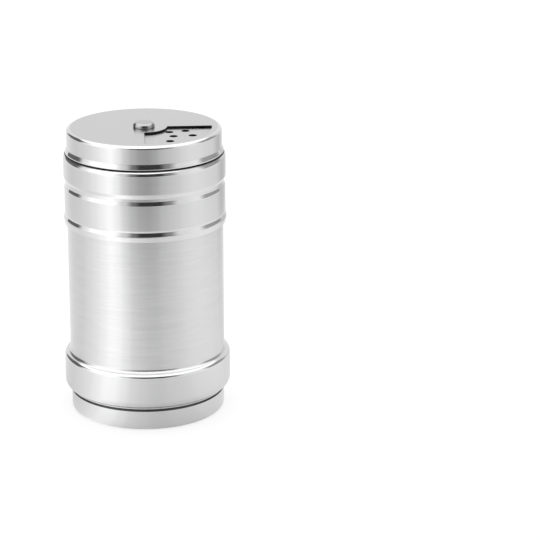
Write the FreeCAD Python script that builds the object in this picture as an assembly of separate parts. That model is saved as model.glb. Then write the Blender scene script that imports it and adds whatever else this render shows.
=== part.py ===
# A refillable table shaker for spices, in drawn stainless steel outside and moulded plastic at its screw thread.
# The jar is a brushed tube with a swollen foot, closed below by a pressed pan and above by a threaded neck.
# A screw lid with banded sides has a pierced top, and a dial with one window turns on a rivet above that top.
# Millimetres. +Z is up, and the origin is the centre of the circle that the shaker stands on.
import FreeCAD
import Part
import math
import os

# Sheet metal, and the gaps between pieces
sheet = 0.45
press_gap = 0.02
rivet_gap = 0.05
liner_gap = 0.1
thread_gap = 0.25
hem_gap = 0.3
dial_gap = 0.35
edge_bend = 0.3

# Tube of the jar: its wall, and how far the foot swells out of it
tube_radius = 22.35
tube_height = 39.4
foot_swell = 1.65
foot_lip_height = 0.35
foot_flare_height = 1.1
foot_flare_bend = 2.2
foot_height = 9.2
foot_shoulder_height = 0.6
foot_shoulder_bend = 1.2

# Pressed pan under the jar: a visible ring, a lip that goes up into the tube, and a dished floor
base_inset = 0.15
base_height = 6.0
base_bend = 1.2
base_lip_height = 2.4
base_seam = 0.35
stand_width = 2.6
dish_depth = 0.9
dish_bend = 0.8

# Side wall of the lid: each band and bead by its step out from the tube, and its height from the hem up
hem_step = 1.0
hem_lip_height = 0.45
hem_lip_bend = 0.55
hem_rise = 1.6
hem_bend = 1.4
hem_height = 2.75
hem_overlap = 0.8
crease_depth = 0.14
crease_height = 0.5
band_step = 0.65
groove_depth = 0.38
groove_over_seat = 0.3
groove_height = 3.0
groove_slope_height = 1.0
groove_bend = 0.9
upper_band_step = 0.8
upper_band_height = 4.8
shoulder_height = 1.95
shoulder_bend = 2.4

# Pierced top of the lid, on a boss that stands up inside the dial, just clear of the dial's own top
boss_clearance = 0.1
boss_bend = 0.9

# Screw thread, right-handed and of one start, with the walls that carry it
thread_lead = 3.5
thread_depth = 0.9
thread_root_width = 1.6
thread_crest_width = 0.8
thread_flank_gap = 0.3
thread_root_sink = 0.2
neck_thread_level = 1.6
neck_thread_margin = 2.1
liner_thread_start = 0.5
liner_wall = 1.1
liner_lift = 0.4
liner_ceiling = 1.3
neck_wall = 1.3
neck_height = 10.7
neck_flange_height = 0.8
neck_skirt_wall = 1.2
neck_skirt_height = 5.0

# Sealing ring on the neck's rim
gasket_thickness = 1.0

# Dial that turns on top of the lid
dial_inset = 0.25
dial_seam = 0.3
dial_height = 6.7
dial_bend = 1.0
flare_width = 0.5
flare_lip_height = 0.3
flare_height = 1.5
flare_bend = 1.0

# Window in the dial: a quarter of a ring, its first edge counted round from +X
window_inner_radius = 6.55
window_rim = 2.9
window_start_deg = -86.0
window_sweep_deg = 90.0
window_corner = 0.5

# Holes through the lid's top, one group to a window's width; the width that is left is closed
small_group_deg = -28.0
small_hole_radius = 1.1
small_row_rim = 3.3
small_row_step = 3.8
small_row_count = 3
small_hole_step_deg = 32.0
medium_hole_radius = 1.8
medium_row_rim = 4.4
medium_row_step = 5.2
medium_row_count = 2
medium_hole_step_deg = 38.0
large_hole_radius = 3.05
large_row_rim = 6.1
large_hole_step_deg = 48.0
large_hole_count = 2

# Rivet through the middle, with the washers that it holds
rivet_radius = 1.5
rivet_head_radius = 3.1
rivet_head_height = 1.4
rivet_head_bend = 0.5
rivet_crown_height = 0.05
rivet_tail_radius = 2.4
rivet_tail_tip_radius = 1.2
rivet_tail_height = 0.9
spring_radius = 4.2
spring_thickness = 0.3
spring_rise = 0.5
washer_radius = 3.3
washer_thickness = 0.4

# Levels, each worked out from the pieces below it
tube_bottom = base_height + base_seam
flare_level = tube_bottom + foot_lip_height
foot_level = flare_level + foot_flare_height
foot_top = foot_level + foot_height
wall_bottom = foot_top + foot_shoulder_height
tube_top = wall_bottom + tube_height
flange_top = tube_top + neck_flange_height
neck_top = flange_top + neck_height
seat_level = neck_top + gasket_thickness
liner_bottom = flange_top + liner_lift
liner_top = seat_level + liner_ceiling
lid_bottom = tube_top - hem_overlap
band_bottom = lid_bottom + hem_height
groove_top = seat_level + groove_over_seat
groove_bottom = groove_top - groove_height
shoulder_bottom = groove_top + upper_band_height
shoulder_top = shoulder_bottom + shoulder_height
dial_bottom = shoulder_top + dial_seam
dial_top = dial_bottom + dial_height
dial_underside = dial_top - sheet
plate_top = dial_underside - boss_clearance
plate_underside = plate_top - sheet
head_seat = dial_top + rivet_gap
spring_bottom = plate_underside - spring_rise - spring_thickness
tail_top = spring_bottom - washer_thickness

# Radii that follow from the pieces around them
pressed_radius = tube_radius - sheet - press_gap
band_radius = tube_radius + band_step
liner_inset = sheet + liner_gap
liner_bore_radius = band_radius - liner_inset - liner_wall
neck_crest_radius = liner_bore_radius - thread_gap
neck_radius = neck_crest_radius - thread_depth
neck_bore_radius = neck_radius - neck_wall
dial_radius = tube_radius - dial_inset
flare_radius = dial_radius + flare_width
boss_radius = dial_radius - sheet - dial_gap
window_outer_radius = dial_radius - window_rim
washer_bore_radius = rivet_radius + press_gap

# Threads: their length fits the neck, and the liner's ridge lies under the neck's, one gap away
neck_thread_turns = (neck_height - neck_thread_level - neck_thread_margin) / thread_lead
neck_thread_bottom = flange_top + neck_thread_level
flank_slope = (thread_root_width - thread_crest_width) / 2.0 / thread_depth
meshed_width = thread_root_width - flank_slope * (thread_depth + thread_gap)
liner_thread_bottom = neck_thread_bottom - meshed_width - thread_flank_gap
liner_thread_turns = neck_thread_turns - liner_thread_start

axis_foot = FreeCAD.Vector(0, 0, 0)
upward = FreeCAD.Vector(0, 0, 1)


def at(radius, height):
    """A point of the half section, which lies in the plane through the axis and +X."""
    return FreeCAD.Vector(radius, 0.0, height)


def spread(start, end, count):
    """Evenly spaced values from start to end."""
    return [start + (end - start) * i / (count - 1) for i in range(count)]


def corner_runs(points, closed):
    """For each point of a bent line: the directions in and out, and how far its bend reaches along both runs."""
    count = len(points)
    corners = []
    for i, (radius, height, bend) in enumerate(points):
        if not closed and i in (0, count - 1):
            corners.append((None, None, 0.0))
            continue
        arriving = at(radius, height) - at(*points[i - 1][:2])
        leaving = at(*points[(i + 1) % count][:2]) - at(radius, height)
        reach = bend * math.tan(arriving.getAngle(leaving) / 2.0)
        corners.append((arriving, leaving, reach))
    return corners


def limited(points, closed=False):
    """The same bent line, with each bend no larger than its two straight runs allow."""
    corners = corner_runs(points, closed)
    count = len(points)
    eased = []
    for i, (radius, height, bend) in enumerate(points):
        arriving, leaving, reach = corners[i]
        share = 1.0
        if reach > 0.0:
            room_before = arriving.Length / (reach + corners[i - 1][2])
            room_after = leaving.Length / (reach + corners[(i + 1) % count][2])
            share = min(share, room_before, room_after)
        eased.append((radius, height, bend * share))
    return eased


def shifted(points, distance):
    """The same bent line moved to its left by a distance, as the far face of a sheet is."""
    moved = []
    last = len(points) - 1
    for i, (radius, height, bend) in enumerate(points):
        here = at(radius, height)
        arriving = here - at(*points[i - 1][:2]) if i > 0 else at(*points[1][:2]) - here
        leaving = at(*points[i + 1][:2]) - here if i < last else FreeCAD.Vector(arriving)
        arriving.normalize()
        leaving.normalize()
        turn = math.atan2(arriving.x * leaving.z - arriving.z * leaving.x, arriving.dot(leaving))
        left = at(-arriving.z - leaving.z, arriving.x + leaving.x)
        left.normalize()
        here = here + left * (distance / math.cos(turn / 2.0))
        moved_bend = max(bend - math.copysign(distance, turn), 0.0) if bend else 0.0
        moved.append((here.x, here.z, moved_bend))
    return moved


def bent_edges(points, closed=False):
    """Straight runs joined by tangent arcs. Each point is a radius, a height and the radius of the bend there."""
    nearly_nothing = 1e-6
    count = len(points)
    stops = []
    for (radius, height, bend), (arriving, leaving, reach) in zip(points, corner_runs(points, closed)):
        here = at(radius, height)
        if reach < nearly_nothing:
            stops.append((here, None, here))
            continue
        half_turn = arriving.getAngle(leaving) / 2.0
        arriving.normalize()
        leaving.normalize()
        inward = leaving - arriving
        inward.normalize()
        middle = here + inward * (bend / math.cos(half_turn) - bend)
        stops.append((here - arriving * reach, middle, here + leaving * reach))
    edges = []
    for i, (entry, middle, leave) in enumerate(stops):
        if middle is not None:
            edges.append(Part.Arc(entry, middle, leave).toShape())
        following = stops[(i + 1) % count][0]
        if (i + 1 < count or closed) and following.distanceToPoint(leave) > nearly_nothing:
            edges.append(Part.LineSegment(leave, following).toShape())
    return edges


def turned(edges):
    """A solid of revolution about the shaker's axis, from the closed outline of its half section."""
    outline = Part.Wire(Part.__sortEdges__(edges))
    return Part.Face(outline).revolve(axis_foot, upward, 360.0)


def turned_sheet(points):
    """A shell of the sheet's thickness. The points give its outer face, and the sheet lies on their left."""
    outer = limited(points)
    inner = shifted(outer, sheet)
    ends = [Part.LineSegment(at(*outer[i][:2]), at(*inner[i][:2])).toShape() for i in (0, -1)]
    return turned(bent_edges(outer) + bent_edges(inner) + ends)


def turned_block(points):
    """A solid ring or plug from the closed outline of its half section."""
    return turned(bent_edges(limited(points, closed=True), closed=True))


def flat_ring(inner_radius, outer_radius, low, high):
    return turned_block(
        [(inner_radius, low, 0), (outer_radius, low, 0), (outer_radius, high, 0), (inner_radius, high, 0)]
    )


def thread_ridge(root_radius, crest_radius, low, start, turns):
    """A helical ridge with its root sunk into the wall that carries it. The helix passes the +X side at the
    low level, and the ridge begins some turns further up it."""
    sunk_radius = root_radius + math.copysign(thread_root_sink, root_radius - crest_radius)
    half_crest = thread_crest_width / 2.0
    half_sunk = half_crest + flank_slope * (thread_depth + thread_root_sink)
    section = [
        at(sunk_radius, low - half_sunk),
        at(crest_radius, low - half_crest),
        at(crest_radius, low + half_crest),
        at(sunk_radius, low + half_sunk),
    ]
    path = Part.makeHelix(thread_lead, thread_lead * turns, root_radius)
    path.translate(at(0, low))
    sweep = Part.BRepOffsetAPI.MakePipeShell(Part.Wire(path.Edges))
    sweep.setFrenetMode(True)
    sweep.add(Part.makePolygon(section + section[:1]))
    sweep.build()
    sweep.makeSolid()
    ridge = Part.Solid(sweep.shape())
    ridge.rotate(axis_foot, upward, 360.0 * start)
    ridge.translate(at(0, thread_lead * start))
    return ridge


def jar_tube():
    foot_radius = tube_radius + foot_swell
    return turned_sheet(
        [
            (tube_radius, tube_bottom, 0),
            (tube_radius, flare_level, sheet),
            (foot_radius, foot_level, foot_flare_bend),
            (foot_radius, foot_top, foot_shoulder_bend),
            (tube_radius, wall_bottom, foot_shoulder_bend),
            (tube_radius, tube_top, 0),
        ]
    )


def base_pan():
    base_radius = tube_radius - base_inset
    stand_radius = base_radius - base_bend - stand_width
    return turned_sheet(
        [
            (0.0, dish_depth, 0),
            (stand_radius - dish_depth, dish_depth, dish_bend),
            (stand_radius, 0.0, dish_bend),
            (base_radius, 0.0, base_bend),
            (base_radius, base_height - sheet / 2.0, sheet),
            (pressed_radius, base_height + sheet / 2.0, sheet),
            (pressed_radius, base_height + base_lip_height, 0),
        ]
    )


def threaded_neck():
    skirt_inner = pressed_radius - neck_skirt_wall
    skirt_bottom = tube_top - neck_skirt_height
    wall = turned_block(
        [
            (neck_bore_radius, neck_top, edge_bend),
            (neck_bore_radius, tube_top, 0),
            (skirt_inner, tube_top - neck_skirt_height / 2.0, 0),
            (skirt_inner, skirt_bottom, 0),
            (pressed_radius, skirt_bottom, 0),
            (pressed_radius, tube_top, 0),
            (tube_radius, tube_top, 0),
            (tube_radius, flange_top, edge_bend),
            (neck_radius, flange_top, 0),
            (neck_radius, neck_top, edge_bend),
        ]
    )
    return wall.fuse(thread_ridge(neck_radius, neck_crest_radius, neck_thread_bottom, 0.0, neck_thread_turns))


def gasket():
    return flat_ring(neck_bore_radius, liner_bore_radius - thread_gap, neck_top, seat_level)


def banded_line():
    """The lid's outer face from the crease over its hem to the upper band, across the groove that locks the liner."""
    groove_radius = band_radius - groove_depth
    return [
        (band_radius - crease_depth, band_bottom, edge_bend),
        (band_radius, band_bottom + crease_height, 2.0 * edge_bend),
        (band_radius, groove_bottom, groove_bend),
        (groove_radius, groove_bottom + groove_slope_height, groove_bend),
        (groove_radius, groove_top - groove_slope_height, groove_bend),
        (tube_radius + upper_band_step, groove_top, groove_bend),
    ]


def lid_holes():
    """Cutters for the three groups of holes. Each row of small or medium holes has one more than the row inside."""
    reach = 3.0 * sheet
    low = plate_underside - sheet
    middles = [small_group_deg + window_sweep_deg * i for i in range(3)]
    rows = []
    for hole, count, row_rim, row_step, step_deg, middle in (
        (small_hole_radius, small_row_count, small_row_rim, small_row_step, small_hole_step_deg, middles[0]),
        (medium_hole_radius, medium_row_count, medium_row_rim, medium_row_step, medium_hole_step_deg, middles[1]),
    ):
        for holes in range(1, count + 1):
            row_radius = window_outer_radius - row_rim - row_step * (count - holes)
            rows.append((hole, row_radius, holes, step_deg, middle))
    large_row_radius = window_outer_radius - large_row_rim
    rows.append((large_hole_radius, large_row_radius, large_hole_count, large_hole_step_deg, middles[2]))
    cutters = []
    for hole, row_radius, holes, step_deg, middle in rows:
        for i in range(holes):
            cutter = Part.makeCylinder(hole, reach, FreeCAD.Vector(row_radius, 0, low))
            cutter.rotate(axis_foot, upward, middle + step_deg * (i - (holes - 1) / 2.0))
            cutters.append(cutter)
    return cutters


def lid_shell():
    hem_radius = tube_radius + hem_step
    side_and_top = [
        (tube_radius + hem_gap + sheet, lid_bottom, 0),
        (hem_radius - hem_lip_height / 2.0, lid_bottom + hem_lip_height, hem_lip_bend),
        (hem_radius, lid_bottom + hem_rise, hem_bend),
        *banded_line(),
        (tube_radius + upper_band_step, shoulder_bottom + shoulder_height / 2.0, shoulder_bend),
        (flare_radius, shoulder_top, sheet),
        (boss_radius, shoulder_top, edge_bend),
        (boss_radius, plate_top, boss_bend),
        (washer_bore_radius, plate_top, 0),
    ]
    return turned_sheet(side_and_top).cut(lid_holes())


def lid_liner():
    low_end = (band_radius - crease_depth, liner_bottom, 0)
    high_end = (tube_radius + upper_band_step, liner_top, 0)
    outer_face = shifted(limited([low_end, *banded_line(), high_end]), liner_inset)
    wall = turned_block(
        [
            *outer_face,
            (neck_bore_radius, liner_top, edge_bend),
            (neck_bore_radius, seat_level, 0),
            (liner_bore_radius, seat_level, 0),
            (liner_bore_radius, liner_bottom, 0),
        ]
    )
    crest_radius = liner_bore_radius - thread_depth
    ridge = thread_ridge(
        liner_bore_radius, crest_radius, liner_thread_bottom, liner_thread_start, liner_thread_turns
    )
    return wall.fuse(ridge)


def window_cutter():
    """A prism of the window's outline, standing through the dial's top."""

    def place(radius, degrees):
        angle = math.radians(degrees)
        return FreeCAD.Vector(radius * math.cos(angle), radius * math.sin(angle), dial_underside - sheet)

    def arc(radius, degrees):
        return Part.Arc(*[place(radius, d) for d in degrees]).toShape()

    sweep = spread(window_start_deg, window_start_deg + window_sweep_deg, 3)
    sides = [
        Part.LineSegment(place(window_inner_radius, d), place(window_outer_radius, d)).toShape()
        for d in (sweep[0], sweep[-1])
    ]
    rims = [arc(window_inner_radius, sweep), arc(window_outer_radius, sweep)]
    outline = Part.Wire(Part.__sortEdges__(sides + rims))
    cutter = Part.Face(outline).extrude(upward * (3.0 * sheet))
    upright = [e for e in cutter.Edges if abs(e.tangentAt(e.FirstParameter).z) > math.cos(math.radians(1.0))]
    return cutter.makeFillet(window_corner, upright)


def dial_cap():
    cap = turned_sheet(
        [
            (flare_radius, dial_bottom, 0),
            (flare_radius, dial_bottom + flare_lip_height, sheet),
            (dial_radius, dial_bottom + flare_height, flare_bend),
            (dial_radius, dial_top, dial_bend),
            (rivet_radius + rivet_gap, dial_top, 0),
        ]
    )
    return cap.cut(window_cutter())


def pivot_rivet():
    """A low round-edged head above the dial, the shank through both tops, and the spread tail under the washers."""
    head_top = head_seat + rivet_head_height
    tail_bottom = tail_top - rivet_tail_height
    return turned_block(
        [
            (0.0, tail_bottom, 0),
            (rivet_tail_tip_radius, tail_bottom, edge_bend),
            (rivet_tail_radius, tail_top - rivet_tail_height / 2.0, edge_bend),
            (rivet_tail_radius, tail_top, 0),
            (rivet_radius, tail_top, 0),
            (rivet_radius, head_seat, 0),
            (rivet_head_radius, head_seat, edge_bend / 2.0),
            (rivet_head_radius, head_top - rivet_crown_height, rivet_head_bend),
            (0.0, head_top, 0),
        ]
    )


def spring_washer():
    """A shallow cone that presses up on the lid's top and down on the tail washer."""
    return turned_block(
        [
            (washer_bore_radius, spring_bottom, 0),
            (spring_radius, spring_bottom + spring_rise, 0),
            (spring_radius, plate_underside, 0),
            (washer_bore_radius, spring_bottom + spring_thickness, 0),
        ]
    )


def tail_washer():
    return flat_ring(washer_bore_radius, washer_radius, tail_top, spring_bottom)


def write(name, shape):
    shape.exportStep("parts/" + name + ".step")
    box = shape.optimalBoundingBox()
    print(
        f"{name:14s} solids {len(shape.Solids)}, valid {shape.isValid()}, volume {shape.Volume:8.2f},"
        f" radius {box.XMax:5.2f}, height {box.ZMin:5.2f} to {box.ZMax:5.2f}"
    )


os.makedirs("parts", exist_ok=True)
for piece in (
    jar_tube,
    base_pan,
    threaded_neck,
    gasket,
    lid_shell,
    lid_liner,
    pivot_rivet,
    spring_washer,
    tail_washer,
    dial_cap,
):
    write(piece.__name__, piece())
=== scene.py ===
# A stainless steel spice shaker with a screw lid and a turning dial, standing on a white table.
# Metres, +Z up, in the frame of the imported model.
import bpy
import math
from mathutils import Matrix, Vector
from mathutils.geometry import delaunay_2d_cdt


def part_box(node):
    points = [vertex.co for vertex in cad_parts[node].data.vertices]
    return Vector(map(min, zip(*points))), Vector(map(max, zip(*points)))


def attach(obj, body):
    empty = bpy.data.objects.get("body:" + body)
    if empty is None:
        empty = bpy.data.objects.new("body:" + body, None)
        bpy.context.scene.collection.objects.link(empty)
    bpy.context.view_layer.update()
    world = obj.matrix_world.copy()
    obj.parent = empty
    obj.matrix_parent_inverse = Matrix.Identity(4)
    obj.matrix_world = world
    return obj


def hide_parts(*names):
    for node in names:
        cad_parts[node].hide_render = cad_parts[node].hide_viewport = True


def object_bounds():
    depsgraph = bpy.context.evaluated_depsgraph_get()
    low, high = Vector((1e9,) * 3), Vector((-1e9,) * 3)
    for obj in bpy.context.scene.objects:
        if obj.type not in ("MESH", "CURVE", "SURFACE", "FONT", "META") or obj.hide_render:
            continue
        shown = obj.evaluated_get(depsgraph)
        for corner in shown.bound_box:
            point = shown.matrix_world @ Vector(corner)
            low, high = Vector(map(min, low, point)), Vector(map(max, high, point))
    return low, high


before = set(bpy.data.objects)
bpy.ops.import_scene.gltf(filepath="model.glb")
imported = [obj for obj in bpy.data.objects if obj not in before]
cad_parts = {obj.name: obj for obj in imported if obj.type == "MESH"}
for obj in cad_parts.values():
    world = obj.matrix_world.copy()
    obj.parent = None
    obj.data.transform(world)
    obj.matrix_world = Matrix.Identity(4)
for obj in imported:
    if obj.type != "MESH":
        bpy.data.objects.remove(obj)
cad_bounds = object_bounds()

MM = 0.001

# The camera that matches the photograph's outline. What is nearer than its near end isn't drawn
CAMERA_PLACE = (0.0357, -0.6607, 0.2563)
CAMERA_DOWN_DEG = 18.06
CAMERA_LENS_MM = 160.5
CAMERA_SENSOR_MM = 36.0
CAMERA_NEAR_END = 0.01

# How finely a turned surface is divided: round the axis, and along a bend
AROUND = 256
BEND_STEP_DEG = 7.5
LEAST_BEND_STEPS = 2

# How many points go round a hole and round the rivet's bore
HOLE_POINTS = 40
BORE_POINTS = 64

# How many steps the rounded edge of a hole has, and the window's rims and corners
HOLE_EDGE_STEPS = 3
WINDOW_RIM_STEPS = 48
WINDOW_CORNER_STEPS = 6

# What counts as no turn, in radians, and as on the axis or as one point, in millimetres
NO_TURN = 1e-6
ON_AXIS = 1e-4
ONE_POINT = 1e-7

# The share of the room between two points that their bends may fill, and the least bend left in millimetres
BEND_ROOM = 0.999
LEAST_BEND = 0.02

# Sizes that the frame doesn't give, in millimetres, as in the solids: the sheet, its edges and the gaps
SHEET = 0.45
EDGE = 0.1
EDGE_BEND = 0.3
TIGHT_BEND = 0.05
GAP = 0.02
RIVET_GAP = 0.05
HEM_GAP = 0.3
DIAL_GAP = 0.35

# The tube's foot, and the pan under it
FOOT_SWELL = 1.65
FOOT_LIP_HEIGHT = 0.35
FOOT_FLARE_HEIGHT = 1.1
FOOT_FLARE_BEND = 2.2
FOOT_HEIGHT = 9.2
FOOT_SHOULDER_HEIGHT = 0.6
FOOT_SHOULDER_BEND = 1.2
PAN_SEAM = 0.35
PAN_BEND = 1.2
STAND_WIDTH = 2.6
DISH_DEPTH = 0.9
DISH_BEND = 0.8

# The lid's side from the hem up, with the steps of its bands out from the tube
HEM_STEP = 1.0
HEM_LIP_HEIGHT = 0.45
HEM_LIP_BEND = 0.55
HEM_RISE = 1.6
HEM_BEND = 1.4
HEM_HEIGHT = 2.75
CREASE_DEPTH = 0.14
CREASE_HEIGHT = 0.5
BAND_STEP = 0.65
BAND_HEIGHT = 7.85
GROOVE_DEPTH = 0.38
GROOVE_HEIGHT = 3.0
GROOVE_SLOPE_HEIGHT = 1.0
GROOVE_BEND = 0.9
UPPER_BAND_STEP = 0.8
UPPER_BAND_HEIGHT = 4.8
SHOULDER_HEIGHT = 1.95
SHOULDER_BEND = 2.4
BOSS_BEND = 0.9
BOSS_RIM = 1.2

# The dial's side, and the rivet, whose head has a rounder edge than the solid's
FLARE_WIDTH = 0.5
FLARE_LIP_HEIGHT = 0.3
FLARE_HEIGHT = 1.5
DIAL_BEND = 1.0
DIAL_RIM = 1.1
RIVET_RADIUS = 1.5
HEAD_BEND = 0.85
CROWN_HEIGHT = 0.05
TAIL_RADIUS = 2.4
TAIL_TIP_RADIUS = 1.2
TAIL_HEIGHT = 0.9


def low(node):
    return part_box(node)[0] / MM


def high(node):
    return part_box(node)[1] / MM


# Levels and radii read from the frame, in millimetres; the foot stays a hair inside the solid's facets
FACET_SAG = 0.01
TUBE_BOTTOM = low("jar_tube").z
TUBE_TOP = high("jar_tube").z
FOOT_RADIUS = high("jar_tube").x - FACET_SAG
TUBE_RADIUS = FOOT_RADIUS - FOOT_SWELL
PAN_RADIUS = high("base_pan").x
PAN_TOP = high("base_pan").z
LID_BOTTOM = low("lid_shell").z
PLATE_TOP = high("lid_shell").z
DIAL_BOTTOM = low("dial_cap").z
DIAL_TOP = high("dial_cap").z
FLARE_RADIUS = high("dial_cap").x
HEAD_TOP = high("pivot_rivet").z
HEAD_RADIUS = high("pivot_rivet").x
TAIL_BOTTOM = low("pivot_rivet").z

# Levels that follow from those
FLARE_LEVEL = TUBE_BOTTOM + FOOT_LIP_HEIGHT
FOOT_LEVEL = FLARE_LEVEL + FOOT_FLARE_HEIGHT
FOOT_TOP = FOOT_LEVEL + FOOT_HEIGHT
WALL_BOTTOM = FOOT_TOP + FOOT_SHOULDER_HEIGHT
PAN_SHOULDER = TUBE_BOTTOM - PAN_SEAM
BAND_BOTTOM = LID_BOTTOM + HEM_HEIGHT
GROOVE_BOTTOM = BAND_BOTTOM + BAND_HEIGHT
GROOVE_TOP = GROOVE_BOTTOM + GROOVE_HEIGHT
SHOULDER_BOTTOM = GROOVE_TOP + UPPER_BAND_HEIGHT
SHOULDER_TOP = SHOULDER_BOTTOM + SHOULDER_HEIGHT

# Radii that follow from those
PRESSED_RADIUS = TUBE_RADIUS - SHEET - GAP
BAND_RADIUS = TUBE_RADIUS + BAND_STEP
UPPER_BAND_RADIUS = TUBE_RADIUS + UPPER_BAND_STEP
GROOVE_RADIUS = BAND_RADIUS - GROOVE_DEPTH
DIAL_RADIUS = FLARE_RADIUS - FLARE_WIDTH
BOSS_RADIUS = DIAL_RADIUS - SHEET - DIAL_GAP

# The dial's window and the groups of holes under it
WINDOW_INNER = 6.55
WINDOW_RIM = 2.9
WINDOW_OUTER = DIAL_RADIUS - WINDOW_RIM
WINDOW_START_DEG = -86.0
WINDOW_SWEEP_DEG = 90.0
WINDOW_CORNER = 0.5
SMALL_GROUP_DEG = -28.0
MEDIUM_GROUP_DEG = SMALL_GROUP_DEG + WINDOW_SWEEP_DEG
LARGE_GROUP_DEG = MEDIUM_GROUP_DEG + WINDOW_SWEEP_DEG

# Each group: its holes' radius, how far its outer row lies inside the window's rim, the step between rows,
# how many rows it has, the angle between holes of a row, and its middle
HOLE_GROUPS = [
    (1.1, 3.3, 3.8, 3, 32.0, SMALL_GROUP_DEG),
    (1.8, 4.4, 5.2, 2, 38.0, MEDIUM_GROUP_DEG),
]
LARGE_HOLE = 3.05
LARGE_ROW_RIM = 6.1
LARGE_COUNT = 2
LARGE_STEP_DEG = 48.0


# Half sections. A point of a section is a radius, a height, its bend's radius, and the finish of the run
# that follows it.


def corner(points, i, closed):
    """A point's place, the direction of the line arriving there and its turn, or None without a bend."""
    count = len(points)
    if not points[i][2] or (not closed and i in (0, count - 1)):
        return None
    here = Vector(points[i][:2])
    arriving = (here - Vector(points[i - 1][:2])).normalized()
    leaving = (Vector(points[(i + 1) % count][:2]) - here).normalized()
    turn = math.atan2(arriving.x * leaving.y - arriving.y * leaving.x, arriving.dot(leaving))
    if abs(turn) < NO_TURN:
        return None
    return here, arriving, turn


def eased(points, closed):
    """The same section with each bend no larger than its runs allow."""
    count = len(points)

    def reach(i):
        found = corner(points, i % count, closed)
        if not found:
            return 0.0
        _, _, turn = found
        return points[i % count][2] * math.tan(abs(turn) / 2.0)

    result = []
    for i, (radius, height, bend, finish) in enumerate(points):
        share = 1.0
        if reach(i) > 0.0:
            here = Vector((radius, height))
            for j in (i - 1, i + 1):
                room = (Vector(points[j % count][:2]) - here).length
                share = min(share, BEND_ROOM * room / (reach(i) + reach(j)))
        result.append((radius, height, bend * share, finish))
    return result


def shifted(points, distance):
    """The section's line moved to its left by a distance, as the far face of a sheet is."""
    moved = []
    last = len(points) - 1
    for i, (radius, height, bend, finish) in enumerate(points):
        here = Vector((radius, height))
        arriving = (here - Vector(points[i - 1][:2])) if i else (Vector(points[1][:2]) - here)
        leaving = (Vector(points[i + 1][:2]) - here) if i < last else arriving.copy()
        arriving.normalize()
        leaving.normalize()
        turn = math.atan2(arriving.x * leaving.y - arriving.y * leaving.x, arriving.dot(leaving))
        left = Vector((-arriving.y - leaving.y, arriving.x + leaving.x)).normalized()
        here += left * (distance / math.cos(turn / 2.0))
        if bend:
            bend = max(bend - math.copysign(distance, turn), LEAST_BEND)
        moved.append((here.x, here.y, bend, finish))
    return moved


def sheet_section(outer):
    """A closed section of a sheet from the line of its outer face."""
    inner = [(r, z, b, "inner") for r, z, b, _ in shifted(eased(outer, False), SHEET)]
    ends = []
    for line in (outer, inner):
        line = list(line)
        for i in (0, -1):
            r, z, _, finish = line[i]
            line[i] = (r, z, EDGE if r > ON_AXIS else 0.0, finish)
        ends.append(line)
    return ends[0] + ends[1][::-1]


def plain_sample(points, i, closed):
    """The sample at a point without a bend, whose normal is square to the line between its neighbours."""
    radius, height, _, finish = points[i]
    count = len(points)
    before, after = (i - 1, (i + 1) % count) if closed else (max(i - 1, 0), min(i + 1, count - 1))
    along = (Vector(points[after][:2]) - Vector(points[before][:2])).normalized()
    return radius, height, along.y, -along.x, finish


def bend_samples(here, arriving, turn, bend, finish):
    """The samples along a bend, from its start to its end."""
    reach = bend * math.tan(abs(turn) / 2.0)
    side = math.copysign(1.0, turn)
    centre = here - arriving * reach + Vector((-arriving.y, arriving.x)) * bend * side
    steps = max(LEAST_BEND_STEPS, math.ceil(abs(math.degrees(turn)) / BEND_STEP_DEG))
    start = math.atan2(-arriving.x * side, arriving.y * side)
    samples = []
    for k in range(steps + 1):
        angle = start + turn * k / steps
        out = Vector((math.cos(angle), math.sin(angle)))
        spot = centre + out * bend
        normal = out * side
        samples.append((spot.x, spot.y, normal.x, normal.y, finish))
    return samples


def sampled(points, closed=True):
    """Points along a section with outward normals: radius, height, normal's radius and height, and finish."""
    points = eased(points, closed)
    samples = []
    for i, (_, _, bend, finish) in enumerate(points):
        found = corner(points, i, closed)
        if found:
            samples += bend_samples(*found, bend, finish)
        else:
            samples.append(plain_sample(points, i, closed))
    return samples


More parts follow.
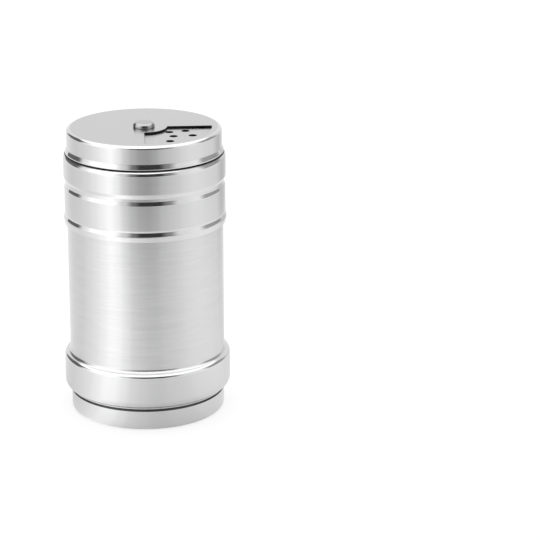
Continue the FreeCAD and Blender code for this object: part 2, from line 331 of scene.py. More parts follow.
class Shape:
    """A mesh in the making: its points with their normals, and its faces with their finishes."""

    def __init__(self):
        self.points = []
        self.normals = []
        self.faces = []
        self.finishes = []

    def ring(self, radius, height, out, up):
        first = len(self.points)
        for k in range(AROUND):
            angle = 2.0 * math.pi * k / AROUND
            c, s = math.cos(angle), math.sin(angle)
            self.points.append((radius * c, radius * s, height))
            self.normals.append((out * c, out * s, up))
        return list(range(first, first + AROUND))

    def pole(self, height, up):
        self.points.append((0.0, 0.0, height))
        self.normals.append((0.0, 0.0, up))
        return [len(self.points) - 1]

    def bridge(self, ring, other, finish):
        """Faces between two closed rows of points with as many points, or between a row and a pole."""
        count = max(len(ring), len(other))
        for k in range(count):
            n = (k + 1) % count
            if len(ring) == 1:
                face = (ring[0], other[n], other[k])
            elif len(other) == 1:
                face = (ring[k], ring[n], other[0])
            else:
                face = (ring[k], ring[n], other[n], other[k])
            self.faces.append(face)
            self.finishes.append(finish)

    def lathe(self, samples, closed=True):
        """Turns a sampled section about the axis, and returns its first and last rings."""
        rings = []
        for radius, height, out, up, _ in samples:
            if radius < ON_AXIS:
                rings.append(self.pole(height, math.copysign(1.0, up)))
            else:
                rings.append(self.ring(radius, height, out, up))
        for i in range(len(rings) - (0 if closed else 1)):
            j = (i + 1) % len(rings)
            if len(rings[i]) > 1 or len(rings[j]) > 1:
                self.bridge(rings[i], rings[j], samples[i][4])
        return rings[0], rings[-1]

    def row(self, outline, height, normals):
        """A closed row of points along a flat outline."""
        first = len(self.points)
        for (x, y), normal in zip(outline, normals):
            self.points.append((x, y, height))
            self.normals.append(normal)
        return list(range(first, first + len(outline)))

    def flat(self, rows, up, finish):
        """Fills the flat region between the first row, its rim, and the rows of the holes in it."""
        spots = [i for row in rows for i in row]
        flat_points = [Vector(self.points[i][:2]) for i in spots]
        edges = []
        first = 0
        for row in rows:
            edges += [(first + k, first + (k + 1) % len(row)) for k in range(len(row))]
            first += len(row)
        corners, _, triangles, origin, _, _ = delaunay_2d_cdt(flat_points, edges, [], 0, ONE_POINT)
        back = [spots[o[0]] for o in origin]
        loops = [[Vector(self.points[i][:2]) for i in row] for row in rows]
        for triangle in triangles:
            middle = sum((corners[i] for i in triangle), Vector((0.0, 0.0))) / 3.0
            if inside(middle, loops[0]) and not any(inside(middle, loop) for loop in loops[1:]):
                face = [back[i] for i in triangle]
                self.faces.append(tuple(face if up > 0 else face[::-1]))
                self.finishes.append(finish)

    def hole(self, outline, top, bottom, finish):
        """The wall of a hole through a plate, with rounded edges. Gives its rows in the plate's two faces."""
        rows = []
        for k in range(HOLE_EDGE_STEPS + 1):
            angle = math.pi / 2.0 * k / HOLE_EDGE_STEPS
            rows.append((1.0 - math.sin(angle), 1.0 - math.cos(angle), math.cos(angle)))
        walls = [(top - EDGE * sink, EDGE * spread, up) for spread, sink, up in rows]
        walls += [(bottom + EDGE * sink, EDGE * spread, -up) for spread, sink, up in rows[::-1]]
        made = []
        for height, spread, up in walls:
            points, outs = outline(spread)
            level = math.sqrt(max(1.0 - up * up, 0.0))
            made.append(self.row(points, height, [(-o[0] * level, -o[1] * level, up) for o in outs]))
        for one, other in zip(made, made[1:]):
            self.bridge(one, other, finish)
        return made[0], made[-1]

    def is_inside_out(self, mesh):
        """Whether most faces look away from the normals of their points."""
        wrong = 0
        for polygon in mesh.polygons:
            total = sum((Vector(self.normals[i]) for i in polygon.vertices), Vector())
            wrong += total.dot(polygon.normal) < 0.0
        return wrong > len(mesh.polygons) / 2

    def build(self, name, finishes):
        """Makes the object, in metres, with a material for each finish."""
        mesh = bpy.data.meshes.new(name)
        mesh.from_pydata([tuple(c * MM for c in p) for p in self.points], [], self.faces)
        mesh.update()
        names = list(finishes)
        for finish in names:
            mesh.materials.append(finishes[finish])
        mesh.polygons.foreach_set("material_index", [names.index(f) for f in self.finishes])
        mesh.polygons.foreach_set("use_smooth", [True] * len(mesh.polygons))
        if self.is_inside_out(mesh):
            mesh.flip_normals()
        mesh.normals_split_custom_set_from_vertices([Vector(n).normalized() for n in self.normals])
        piece = bpy.data.objects.new(name, mesh)
        bpy.context.scene.collection.objects.link(piece)
        return piece


def inside(spot, loop):
    """Whether a point is inside a closed loop."""
    found = False
    for a, b in zip(loop, loop[1:] + loop[:1]):
        if (a.y > spot.y) != (b.y > spot.y) and spot.x < (b.x - a.x) * (spot.y - a.y) / (b.y - a.y) + a.x:
            found = not found
    return found


def circle_outline(x, y, radius, count=HOLE_POINTS):
    """A function that gives a round hole's outline, spread by a distance, and the directions out of it."""
    angles = [2 * math.pi * k / count for k in range(count)]
    outs = [(math.cos(angle), math.sin(angle)) for angle in angles]

    def outline(spread):
        return [(x + out[0] * (radius + spread), y + out[1] * (radius + spread)) for out in outs], outs

    return outline


def direction(angle):
    return Vector((math.cos(angle), math.sin(angle)))


def across(angle):
    return Vector((-math.sin(angle), math.cos(angle)))


def turned_between(one, other, share):
    """The direction that lies a share of the way from one to the other."""
    between = one.angle(other)
    part = math.sin((1.0 - share) * between) / math.sin(between)
    other_part = math.sin(share * between) / math.sin(between)
    return (one * part + other * other_part).normalized()


def window_corner(centre, bend, one, other):
    """A rounded corner: its points, each with the direction out of the window."""
    outs = [turned_between(one, other, k / WINDOW_CORNER_STEPS) for k in range(WINDOW_CORNER_STEPS + 1)]
    return [(centre + out * bend, out) for out in outs]


def window_rim(rim, sign, first, last, spread):
    """A rim of the window with its two corners. The sign is 1 for the outer rim and -1 for the inner."""
    bend = WINDOW_CORNER + spread
    centres = rim - sign * bend
    lean = math.copysign(math.asin((bend - spread) / centres), last - first)
    start, end = first + lean, last - lean
    spots = window_corner(direction(start) * centres, bend, across(first) * -sign, direction(start) * sign)
    for k in range(1, WINDOW_RIM_STEPS):
        out = direction(start + (end - start) * k / WINDOW_RIM_STEPS)
        spots.append((out * rim, out * sign))
    spots += window_corner(direction(end) * centres, bend, direction(end) * sign, across(last) * sign)
    return spots


def window_outline(spread):
    """The dial's window, spread by a distance: two rims about the axis and two radial sides."""
    start = math.radians(WINDOW_START_DEG)
    end = start + math.radians(WINDOW_SWEEP_DEG)
    spots = window_rim(WINDOW_OUTER + spread, 1.0, start, end, spread)
    spots += window_rim(WINDOW_INNER - spread, -1.0, end, start, spread)
    return [tuple(point) for point, _ in spots], [tuple(out) for _, out in spots]


# Materials

# A quarter of a turn, which stretches highlights across the marks that run round the axis
STREAK_TURN = 0.25

# Detail of the noises: worked lines, clouds, and the mould's fine texture
LINE_DETAIL = 3.0
CLOUD_DETAIL = 4.0
FINE_DETAIL = 2.0

# The part of a noise round its middle that a range takes up, to each side
NOISE_SPREAD = 0.25

# How far the clouds lower and raise the roughness
STEEL_ROUGHNESS_LOW = 0.85
STEEL_ROUGHNESS_HIGH = 1.2
PLASTIC_ROUGHNESS_LOW = 0.9
PLASTIC_ROUGHNESS_HIGH = 1.15

# The relief's depth in metres
RELIEF_DEPTH = 0.00002

# Plastic: the stretch of its textures, the light that goes into it, its darkest tone and its relief
MOULD_CLOUDS = (900.0, 900.0, 900.0)
MOULD_TEXTURE = (9000.0, 9000.0, 9000.0)
PLASTIC_SUBSURFACE = 0.15
PLASTIC_SUBSURFACE_REACH = (0.002, 0.002, 0.002)
PLASTIC_DARKEST = 0.97
PLASTIC_BUMP = 0.1


def new_material(name):
    material = bpy.data.materials.new(name)
    material.use_nodes = True
    nodes = material.node_tree.nodes
    return material, nodes, material.node_tree.links, nodes["Principled BSDF"]


def noise(nodes, links, scale, detail, source):
    """A noise on the piece's own coordinates, stretched by a scale for each direction."""
    mapping = nodes.new("ShaderNodeMapping")
    mapping.inputs["Scale"].default_value = scale
    texture = nodes.new("ShaderNodeTexNoise")
    texture.inputs["Scale"].default_value = 1.0
    texture.inputs["Detail"].default_value = detail
    links.new(source, mapping.inputs["Vector"])
    links.new(mapping.outputs["Vector"], texture.inputs["Vector"])
    return texture.outputs["Fac"]


def ranged(nodes, links, value, low_value, high_value):
    """Maps the middle part of a noise to a range."""
    node = nodes.new("ShaderNodeMapRange")
    node.inputs["From Min"].default_value = 0.5 - NOISE_SPREAD
    node.inputs["From Max"].default_value = 0.5 + NOISE_SPREAD
    node.inputs["To Min"].default_value = low_value
    node.inputs["To Max"].default_value = high_value
    links.new(value, node.inputs["Value"])
    return node.outputs["Result"]


def toned(nodes, links, value, one, other):
    """A colour between two, by a value from 0 to 1."""
    node = nodes.new("ShaderNodeMix")
    node.data_type = "RGBA"
    node.inputs["A"].default_value = (*one, 1.0)
    node.inputs["B"].default_value = (*other, 1.0)
    links.new(value, node.inputs["Factor"])
    return node.outputs["Result"]


def clouded_roughness(nodes, links, shader, clouds, lowest, highest):
    links.new(ranged(nodes, links, clouds, lowest, highest), shader.inputs["Roughness"])


def mottled_tone(nodes, links, shader, pattern, darker, lighter):
    share = ranged(nodes, links, pattern, 0.0, 1.0)
    links.new(toned(nodes, links, share, darker, lighter), shader.inputs["Base Color"])


def relief(nodes, links, shader, pattern, strength):
    """Raises the surface by a pattern, as worked lines and mould texture do."""
    bump = nodes.new("ShaderNodeBump")
    bump.inputs["Strength"].default_value = strength
    bump.inputs["Distance"].default_value = RELIEF_DEPTH
    links.new(pattern, bump.inputs["Height"])
    links.new(bump.outputs["Normal"], shader.inputs["Normal"])


def steel(name, tone, roughness, anisotropy, grain, mottle, bump, worn=0.03):
    """Stainless steel worked round the axis. The grain stretches its lines: fine along Z, long round."""
    material, nodes, links, shader = new_material(name)
    coordinates = nodes.new("ShaderNodeTexCoord").outputs["Object"]
    shader.inputs["Metallic"].default_value = 1.0
    shader.inputs["Anisotropic"].default_value = anisotropy
    shader.inputs["Anisotropic Rotation"].default_value = STREAK_TURN
    if anisotropy:
        tangent = nodes.new("ShaderNodeTangent")
        tangent.direction_type = "RADIAL"
        tangent.axis = "Z"
        links.new(tangent.outputs["Tangent"], shader.inputs["Tangent"])
    lines = noise(nodes, links, grain, LINE_DETAIL, coordinates)
    clouds = noise(nodes, links, mottle, CLOUD_DETAIL, coordinates)
    lowest = roughness * STEEL_ROUGHNESS_LOW
    highest = roughness * STEEL_ROUGHNESS_HIGH
    clouded_roughness(nodes, links, shader, clouds, lowest, highest)
    darker = tuple(c * (1.0 - worn) for c in tone)
    lighter = tuple(min(c * (1.0 + worn), 1.0) for c in tone)
    mottled_tone(nodes, links, shader, lines, darker, lighter)
    relief(nodes, links, shader, lines, bump)
    return material


def plastic(name, tone, roughness, transmission=0.0):
    """Moulded plastic or rubber with a faint mould texture."""
    material, nodes, links, shader = new_material(name)
    coordinates = nodes.new("ShaderNodeTexCoord").outputs["Object"]
    shader.inputs["Subsurface Weight"].default_value = PLASTIC_SUBSURFACE
    shader.inputs["Subsurface Radius"].default_value = PLASTIC_SUBSURFACE_REACH
    shader.inputs["Transmission Weight"].default_value = transmission
    clouds = noise(nodes, links, MOULD_CLOUDS, CLOUD_DETAIL, coordinates)
    fine = noise(nodes, links, MOULD_TEXTURE, FINE_DETAIL, coordinates)
    lowest = roughness * PLASTIC_ROUGHNESS_LOW
    highest = roughness * PLASTIC_ROUGHNESS_HIGH
    clouded_roughness(nodes, links, shader, clouds, lowest, highest)
    darker = tuple(c * PLASTIC_DARKEST for c in tone)
    mottled_tone(nodes, links, shader, clouds, darker, tone)
    relief(nodes, links, shader, fine, PLASTIC_BUMP)
    return material


# The steel's common tone, and the stretch of the worked lines and of the clouds along X, Y and Z
STEEL_TONE = (0.66, 0.66, 0.665)
BRUSH_GRAIN = (120.0, 120.0, 4500.0)
BRUSH_MOTTLE = (90.0, 90.0, 700.0)
EVEN_MOTTLE = (400.0, 400.0, 400.0)
FINE_GRAIN = (3000.0, 3000.0, 3000.0)

BRUSHED = steel(
    "brushed_steel",
    tone=STEEL_TONE,
    roughness=0.2,
    anisotropy=0.85,
    grain=BRUSH_GRAIN,
    mottle=BRUSH_MOTTLE,
    bump=0.15,
    worn=0.045,
)
SATIN = steel(
    "satin_steel",
    tone=STEEL_TONE,
    roughness=0.15,
    anisotropy=0.5,
    grain=BRUSH_GRAIN,
    mottle=BRUSH_MOTTLE,
    bump=0.05,
    worn=0.015,
)
POLISHED = steel(
    "polished_steel",
    tone=(0.7, 0.7, 0.705),
    roughness=0.06,
    anisotropy=0.3,
    grain=BRUSH_GRAIN,
    mottle=EVEN_MOTTLE,
    bump=0.02,
)
RIVET = steel(
    "rivet_steel",
    tone=(0.43, 0.43, 0.435),
    roughness=0.12,
    anisotropy=0.0,
    grain=FINE_GRAIN,
    mottle=EVEN_MOTTLE,
    bump=0.03,
)
# Near-black steel for the cut faces of the sheet and the walls of the holes: painted shade, darkening the
# edges and the gaps beneath them
CUT_PAINTED_SHADE = steel(
    "cut_edge_painted_shade",
    tone=(0.035, 0.035, 0.035),
    roughness=0.5,
    anisotropy=0.0,
    grain=FINE_GRAIN,
    mottle=EVEN_MOTTLE,
    bump=0.1,
)
# Near-black steel where parts meet: the tube's foot in the pan, the lid's ledge under the dial and the
# rivet's head; painted shade in these crevices
SEAM_PAINTED_SHADE = steel(
    "seam_painted_shade_steel",
    tone=(0.08, 0.08, 0.08),
    roughness=0.4,
    anisotropy=0.0,
    grain=FINE_GRAIN,
    mottle=EVEN_MOTTLE,
    bump=0.1,
)
DIAL_FACE = steel(
    "dial_face_steel",
    tone=(0.55, 0.55, 0.555),
    roughness=0.2,
    anisotropy=0.0,
    grain=FINE_GRAIN,
    mottle=EVEN_MOTTLE,
    bump=0.05,
    worn=0.015,
)
INNER = steel(
    "inner_steel",
    tone=(0.6, 0.6, 0.6),
    roughness=0.3,
    anisotropy=0.4,
    grain=BRUSH_GRAIN,
    mottle=BRUSH_MOTTLE,
    bump=0.1,
)
WASHER = steel(
    "washer_steel",
    tone=(0.6, 0.6, 0.61),
    roughness=0.25,
    anisotropy=0.0,
    grain=FINE_GRAIN,
    mottle=EVEN_MOTTLE,
    bump=0.1,
)
WHITE_PLASTIC = plastic("moulded_polypropylene", tone=(0.82, 0.82, 0.8), roughness=0.4)
SILICONE = plastic("clear_silicone", tone=(0.8, 0.8, 0.78), roughness=0.35, transmission=0.3)

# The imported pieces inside, which keep their own shape
INNER_PIECES = [
    ("threaded_neck", WHITE_PLASTIC),
    ("lid_liner", WHITE_PLASTIC),
    ("gasket", SILICONE),
    ("spring_washer", WASHER),
    ("tail_washer", WASHER),
]


# Pieces


def steel_piece(name, node, body, section, finishes):
    """Makes a turned steel piece that stands for a node of the frame."""
    shape = Shape()
    shape.lathe(sampled(section))
    place(shape.build(name, finishes), node, body)


def place(piece, node, body):
    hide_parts(node)
    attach(piece, body)


def make_tube():
    outer = [
        # The tube's bottom edge is near-black steel: painted shade in the seam
        (TUBE_RADIUS, TUBE_BOTTOM, 0, "seam_painted_shade"),
        (TUBE_RADIUS, FLARE_LEVEL, SHEET, "satin"),
        (FOOT_RADIUS, FOOT_LEVEL, FOOT_FLARE_BEND, "satin"),
        (FOOT_RADIUS, FOOT_TOP, FOOT_SHOULDER_BEND, "polished"),
        (TUBE_RADIUS, WALL_BOTTOM, FOOT_SHOULDER_BEND, "brushed"),
        (TUBE_RADIUS, TUBE_TOP, 0, "brushed"),
    ]
    finishes = {"satin": SATIN, "polished": POLISHED, "brushed": BRUSHED, "inner": INNER, "seam_painted_shade": SEAM_PAINTED_SHADE}
    steel_piece("tube", "jar_tube", "jar", sheet_section(outer), finishes)


def make_pan():
    stand_radius = PAN_RADIUS - PAN_BEND - STAND_WIDTH
    outer = [
        (0.0, DISH_DEPTH, 0, "satin"),
        (stand_radius - DISH_DEPTH, DISH_DEPTH, DISH_BEND, "satin"),
        (stand_radius, 0.0, DISH_BEND, "satin"),
        (PAN_RADIUS, 0.0, PAN_BEND, "satin"),
        # The pan's shoulder inside the tube's foot is near-black steel: painted shade in the seam
        (PAN_RADIUS, PAN_SHOULDER - SHEET / 2.0, SHEET, "seam_painted_shade"),
        (PRESSED_RADIUS, PAN_SHOULDER + SHEET / 2.0, SHEET, "seam_painted_shade"),
        (PRESSED_RADIUS, PAN_TOP, 0, "seam_painted_shade"),
    ]
    finishes = {"satin": SATIN, "inner": INNER, "seam_painted_shade": SEAM_PAINTED_SHADE}
    steel_piece("pan", "base_pan", "jar", sheet_section(outer), finishes)


def plate_holes():
    """The outlines of the three groups of holes. The rows of small or medium holes have 1, 2, 3 and so on."""
    holes = []
    rows = []
    for radius, row_rim, row_step, row_count, step, middle in HOLE_GROUPS:
        for count in range(1, row_count + 1):
            row_radius = WINDOW_OUTER - row_rim - row_step * (row_count - count)
            rows.append((radius, row_radius, count, step, middle))
    rows.append((LARGE_HOLE, WINDOW_OUTER - LARGE_ROW_RIM, LARGE_COUNT, LARGE_STEP_DEG, LARGE_GROUP_DEG))
    for radius, row_radius, count, step, middle in rows:
        for i in range(count):
            angle = math.radians(middle + step * (i - (count - 1) / 2.0))
            holes.append(circle_outline(row_radius * math.cos(angle), row_radius * math.sin(angle), radius))
    return holes


def topped_piece(side, top, bore, holes, finish_top):
    """A turned sheet whose flat top has holes through it. The side's line ends at the rim of the flat top."""
    inner = shifted(eased(side, False), SHEET)
    inner = [(r, z, b, "inner") for r, z, b, _ in inner]
    start_outer = (side[0][0], side[0][1], EDGE, side[0][3])
    start_inner = (inner[0][0], inner[0][1], EDGE, "inner")
    line = [inner[-1]] + inner[-2:0:-1] + [start_inner, start_outer] + side[1:]
    shape = Shape()
    bottom_rim, top_rim = shape.lathe(sampled(line, closed=False), closed=False)
    outlines = holes + [circle_outline(0.0, 0.0, bore, BORE_POINTS)]
    # The walls of the holes and of the rivet's bore get the near-black steel: painted shade
    rows = [shape.hole(outline, top, top - SHEET, "cut_painted_shade") for outline in outlines]
    shape.flat([top_rim] + [row[0] for row in rows], 1.0, finish_top)
    shape.flat([bottom_rim] + [row[1] for row in rows], -1.0, "inner")
    return shape


def make_lid():
    hem_radius = TUBE_RADIUS + HEM_STEP
    side = [
        (TUBE_RADIUS + HEM_GAP + SHEET, LID_BOTTOM, 0, "polished"),
        (hem_radius - HEM_LIP_HEIGHT / 2.0, LID_BOTTOM + HEM_LIP_HEIGHT, HEM_LIP_BEND, "polished"),
        (hem_radius, LID_BOTTOM + HEM_RISE, HEM_BEND, "polished"),
        (BAND_RADIUS - CREASE_DEPTH, BAND_BOTTOM, EDGE_BEND, "polished"),
        (BAND_RADIUS, BAND_BOTTOM + CREASE_HEIGHT, 2.0 * EDGE_BEND, "satin"),
        (BAND_RADIUS, GROOVE_BOTTOM, GROOVE_BEND, "polished"),
        (GROOVE_RADIUS, GROOVE_BOTTOM + GROOVE_SLOPE_HEIGHT, GROOVE_BEND, "polished"),
        (GROOVE_RADIUS, GROOVE_TOP - GROOVE_SLOPE_HEIGHT, GROOVE_BEND, "polished"),
        (UPPER_BAND_RADIUS, GROOVE_TOP, GROOVE_BEND, "satin"),
        (UPPER_BAND_RADIUS, SHOULDER_BOTTOM + SHOULDER_HEIGHT / 2.0, SHOULDER_BEND, "polished"),
        # The ledge under the dial's skirt and the boss's side are near-black steel: painted shade
        (FLARE_RADIUS, SHOULDER_TOP, SHEET, "seam_painted_shade"),
        (BOSS_RADIUS, SHOULDER_TOP, EDGE_BEND, "seam_painted_shade"),
        (BOSS_RADIUS, PLATE_TOP, BOSS_BEND, "plate"),
        (BOSS_RADIUS - BOSS_RIM, PLATE_TOP, 0, "plate"),
    ]
    shape = topped_piece(side, PLATE_TOP, RIVET_RADIUS + GAP, plate_holes(), "plate")
    finishes = {
        "satin": SATIN,
        "polished": POLISHED,
        "plate": DIAL_FACE,
        "inner": INNER,
        "cut_painted_shade": CUT_PAINTED_SHADE,
        "seam_painted_shade": SEAM_PAINTED_SHADE,
    }
    place(shape.build("lid", finishes), "lid_shell", "lid")


def make_dial():
    side = [
        (FLARE_RADIUS, DIAL_BOTTOM, 0, "polished"),
        (FLARE_RADIUS, DIAL_BOTTOM + FLARE_LIP_HEIGHT, SHEET, "polished"),
        (DIAL_RADIUS, DIAL_BOTTOM + FLARE_HEIGHT, DIAL_BEND, "satin"),
        (DIAL_RADIUS, DIAL_TOP, DIAL_BEND, "polished"),
        (DIAL_RADIUS - DIAL_RIM, DIAL_TOP, 0, "face"),
    ]
    shape = topped_piece(side, DIAL_TOP, RIVET_RADIUS + RIVET_GAP, [window_outline], "face")
    finishes = {"satin": SATIN, "polished": POLISHED, "face": DIAL_FACE, "inner": INNER, "cut_painted_shade": CUT_PAINTED_SHADE}
    place(shape.build("dial", finishes), "dial_cap", "dial")


def make_rivet():
    head_seat = DIAL_TOP + RIVET_GAP
    tail_top = TAIL_BOTTOM + TAIL_HEIGHT
    section = [
        (0.0, TAIL_BOTTOM, 0, "polished"),
        (TAIL_TIP_RADIUS, TAIL_BOTTOM, EDGE_BEND, "polished"),
        (TAIL_RADIUS, tail_top - TAIL_HEIGHT / 2.0, EDGE_BEND, "polished"),
        (TAIL_RADIUS, tail_top, TIGHT_BEND, "polished"),
        (RIVET_RADIUS, tail_top, TIGHT_BEND, "polished"),
        # The underside of the head is near-black steel: painted shade under the head
        (RIVET_RADIUS, head_seat, TIGHT_BEND, "seam_painted_shade"),
        (HEAD_RADIUS, head_seat, EDGE_BEND / 2.0, "polished"),
        (HEAD_RADIUS, HEAD_TOP - CROWN_HEIGHT, HEAD_BEND, "polished"),
        (0.0, HEAD_TOP, 0, "polished"),
    ]
    shape = Shape()
    shape.lathe(sampled(section, closed=False), closed=False)
    finishes = {"polished": RIVET, "seam_painted_shade": SEAM_PAINTED_SHADE}
    place(shape.build("rivet", finishes), "pivot_rivet", "lid")


def dress_inner_pieces():
    for node, material in INNER_PIECES:
        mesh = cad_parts[node].data
        mesh.materials.clear()
        mesh.materials.append(material)


make_tube()
make_pan()
make_lid()
make_dial()
make_rivet()
dress_inner_pieces()


# Table, studio and camera


def azimuth(nodes, links, vector):
    """A vector's compass angle as 0 to 1, with 0.5 at the front and 0.25 on the left, and its height."""
    parts = nodes.new("ShaderNodeSeparateXYZ")
    links.new(vector, parts.inputs["Vector"])
    behind = nodes.new("ShaderNodeMath")
    behind.operation = "MULTIPLY"
    behind.inputs[1].default_value = -1.0
    links.new(parts.outputs["Y"], behind.inputs[0])
    angle = nodes.new("ShaderNodeMath")
    angle.operation = "ARCTAN2"
    links.new(parts.outputs["X"], angle.inputs[0])
    links.new(behind.outputs["Value"], angle.inputs[1])
    share = nodes.new("ShaderNodeMapRange")
    share.inputs["From Min"].default_value = -math.pi
    share.inputs["From Max"].default_value = math.pi
    links.new(angle.outputs["Value"], share.inputs["Value"])
    return share.outputs["Result"], parts.outputs["Z"]


def ramp(nodes, links, value, stops):
    """Brightness by a value: stops are (position, level), eased between."""
    node = nodes.new("ShaderNodeValToRGB")
    node.color_ramp.interpolation = "EASE"
    elements = node.color_ramp.elements
    while len(elements) > 1:
        elements.remove(elements[-1])
    for i, (position, level) in enumerate(stops):
        element = elements[0] if i == 0 else elements.new(position)
        element.position = position
        element.color = (level, level, level, 1.0)
    links.new(value, node.inputs["Fac"])
    return node.outputs["Color"]


def times(nodes, links, one, other):
    node = nodes.new("ShaderNodeMath")
    node.operation = "MULTIPLY"
    for socket, value in zip(node.inputs, (one, other)):
        if isinstance(value, float):
            socket.default_value = value
        else:
            links.new(value, socket)
    return node.outputs["Value"]


def blended(nodes, links, factor, one, other):
    """one where the factor is 0 and other where it is 1; each is a socket or a number."""
    node = nodes.new("ShaderNodeMix")
    node.data_type = "FLOAT"
    links.new(factor, node.inputs["Factor"])
    for name, value in (("A", one), ("B", other)):
        if isinstance(value, float):
            node.inputs[name].default_value = value
        else:
            links.new(value, node.inputs[name])
    return node.outputs["Result"]


def compass(degrees):
    """A ramp's place for an angle from the photographer's side, positive to the right."""
    return (degrees + 180.0) / 360.0


# Ramps hold levels up to 1, so the studio's levels are halved in them and doubled after them
RAMP_SHARE = 0.5

# The table: half its width and how far it lies under the shaker, in metres, and its tone and its own glow
TABLE_HALF = 6.0
TABLE_DROP = 0.00002
TABLE_TONE = 0.5
TABLE_GLOW = 0.59

# The table as the metal mirrors it, close by and farther out: degrees from the photographer's side, and level
TABLE_NEAR = [
    (-180, 0.95), (-150, 0.9), (-117, 0.86), (-99, 0.86), (-84, 0.95), (-70, 1.05), (-58, 1.2), (-46, 1.36),
    (-35, 1.32), (-24, 1.13), (-14, 0.94), (-3, 0.85), (7, 0.78), (17, 0.76), (27, 0.81), (38, 0.84),
    (49, 0.88), (60, 0.95), (73, 0.98), (86, 1.0), (100, 0.98), (117, 0.92), (140, 0.8), (180, 0.95),
]
TABLE_FAR = [
    (-180, 0.95), (-142, 0.87), (-117, 0.78), (-99, 0.84), (-84, 0.93), (-70, 1.06), (-58, 1.22), (-46, 1.37),
    (-35, 1.15), (-24, 0.78), (-14, 0.57), (-3, 0.43), (7, 0.4), (17, 0.48), (27, 0.63), (38, 0.72),
    (49, 0.8), (60, 0.9), (73, 0.97), (86, 0.96), (100, 0.9), (117, 0.85), (140, 0.6), (180, 0.95),
]
TABLE_NEAR_END = 0.16
TABLE_FAR_START = 0.235

# The shaker's shade on the table, as the metal mirrors it: its level, and where its fading starts and ends
SHADE_LEVEL = 0.92
SHADE_START = 0.024
SHADE_END = 0.06

# What stands round the table: soft light on the left, the dark camera in front, dark stands at the back
SURROUND = [
    (-180, 0.98), (-152, 0.95), (-142, 0.18), (-108, 0.15), (-94, 1.05), (-75, 1.55), (-45, 1.5), (-28, 0.85),
    (-14, 0.22), (-3, 0.05), (24, 0.05), (38, 0.3), (55, 0.95), (85, 1.1), (100, 0.45), (128, 0.4),
    (145, 0.9), (180, 0.98),
]

# The light overhead: its level, and the heights over the horizon at which it starts and is full
OVERHEAD_LEVEL = 1.6
OVERHEAD_FROM_DEG = 33.0
OVERHEAD_FULL_DEG = 40.0


def ring_of_light(nodes, links, place_round, stops):
    """The level at a compass place, from stops of degrees and levels."""
    halved = [(compass(degrees), level * RAMP_SHARE) for degrees, level in stops]
    return times(nodes, links, ramp(nodes, links, place_round, halved), 1.0 / RAMP_SHARE)


def table_light(nodes, links):
    """The level at which the table shines: 1 to the camera, and ramps and shade to what mirrors it."""
    position = nodes.new("ShaderNodeNewGeometry").outputs["Position"]
    place_round, _ = azimuth(nodes, links, position)
    reach = nodes.new("ShaderNodeVectorMath")
    reach.operation = "LENGTH"
    links.new(position, reach.inputs[0])
    away = nodes.new("ShaderNodeMapRange")
    away.interpolation_type = "SMOOTHSTEP"
    away.inputs["From Min"].default_value = TABLE_NEAR_END
    away.inputs["From Max"].default_value = TABLE_FAR_START
    links.new(reach.outputs["Value"], away.inputs["Value"])
    near = ring_of_light(nodes, links, place_round, TABLE_NEAR)
    far = ring_of_light(nodes, links, place_round, TABLE_FAR)
    shade = nodes.new("ShaderNodeMapRange")
    shade.interpolation_type = "SMOOTHSTEP"
    shade.inputs["From Min"].default_value = SHADE_START
    shade.inputs["From Max"].default_value = SHADE_END
    shade.inputs["To Min"].default_value = SHADE_LEVEL
    links.new(reach.outputs["Value"], shade.inputs["Value"])
    around = blended(nodes, links, away.outputs["Result"], near, far)
    around = times(nodes, links, around, shade.outputs["Result"])
    mirrored = nodes.new("ShaderNodeLightPath").outputs["Is Glossy Ray"]
    return blended(nodes, links, mirrored, 1.0, around)


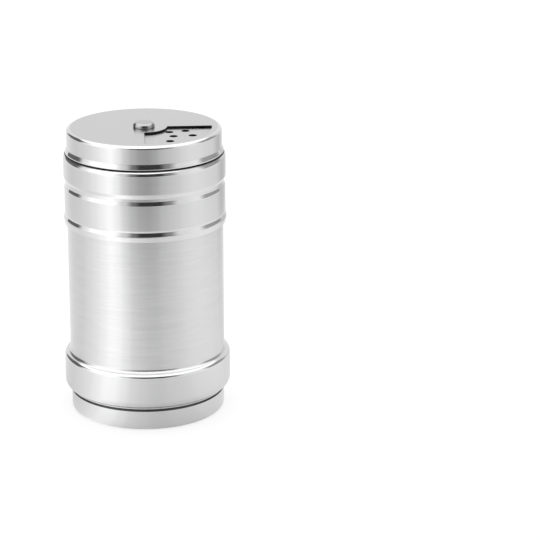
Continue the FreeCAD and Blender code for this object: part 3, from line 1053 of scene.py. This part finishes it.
def table_material():
    """White, with a glow of its own, so that it renders as white as the photograph's ground."""
    material, nodes, links, shader = new_material("white_table")
    nodes.remove(shader)
    level = table_light(nodes, links)
    diffuse = nodes.new("ShaderNodeBsdfDiffuse")
    links.new(times(nodes, links, level, TABLE_TONE), diffuse.inputs["Color"])
    glow = nodes.new("ShaderNodeEmission")
    links.new(times(nodes, links, level, TABLE_GLOW), glow.inputs["Strength"])
    both = nodes.new("ShaderNodeAddShader")
    links.new(diffuse.outputs["BSDF"], both.inputs[0])
    links.new(glow.outputs["Emission"], both.inputs[1])
    links.new(both.outputs["Shader"], nodes["Material Output"].inputs["Surface"])
    return material


def make_table():
    mesh = bpy.data.meshes.new("table")
    height = cad_bounds[0][2] - TABLE_DROP
    signs = ((-1.0, -1.0), (1.0, -1.0), (1.0, 1.0), (-1.0, 1.0))
    mesh.from_pydata([(x * TABLE_HALF, y * TABLE_HALF, height) for x, y in signs], [], [(0, 1, 2, 3)])
    table = bpy.data.objects.new("table", mesh)
    bpy.context.scene.collection.objects.link(table)
    mesh.materials.append(table_material())


def make_world():
    world = bpy.data.worlds.new("studio")
    bpy.context.scene.world = world
    world.use_nodes = True
    nodes, links = world.node_tree.nodes, world.node_tree.links
    background = nodes["Background"]
    background.inputs["Color"].default_value = (1.0, 1.0, 1.0, 1.0)
    looking = nodes.new("ShaderNodeTexCoord").outputs["Generated"]
    place_round, height = azimuth(nodes, links, looking)
    around = ring_of_light(nodes, links, place_round, SURROUND)
    lifted = nodes.new("ShaderNodeMapRange")
    lifted.interpolation_type = "SMOOTHSTEP"
    lifted.inputs["From Min"].default_value = math.sin(math.radians(OVERHEAD_FROM_DEG))
    lifted.inputs["From Max"].default_value = math.sin(math.radians(OVERHEAD_FULL_DEG))
    links.new(height, lifted.inputs["Value"])
    studio = blended(nodes, links, lifted.outputs["Result"], around, OVERHEAD_LEVEL)
    mirrored = nodes.new("ShaderNodeLightPath").outputs["Is Glossy Ray"]
    links.new(blended(nodes, links, mirrored, 1.0, studio), background.inputs["Strength"])


def make_camera():
    data = bpy.data.cameras.new("camera")
    data.lens = CAMERA_LENS_MM
    data.sensor_width = CAMERA_SENSOR_MM
    data.sensor_fit = "HORIZONTAL"
    data.clip_start = CAMERA_NEAR_END
    camera = bpy.data.objects.new("camera", data)
    camera.location = CAMERA_PLACE
    camera.rotation_euler = (math.radians(90.0 - CAMERA_DOWN_DEG), 0.0, 0.0)
    bpy.context.scene.collection.objects.link(camera)
    bpy.context.scene.camera = camera


make_table()
make_world()
make_camera()
bpy.context.scene.view_settings.view_transform = "Standard"
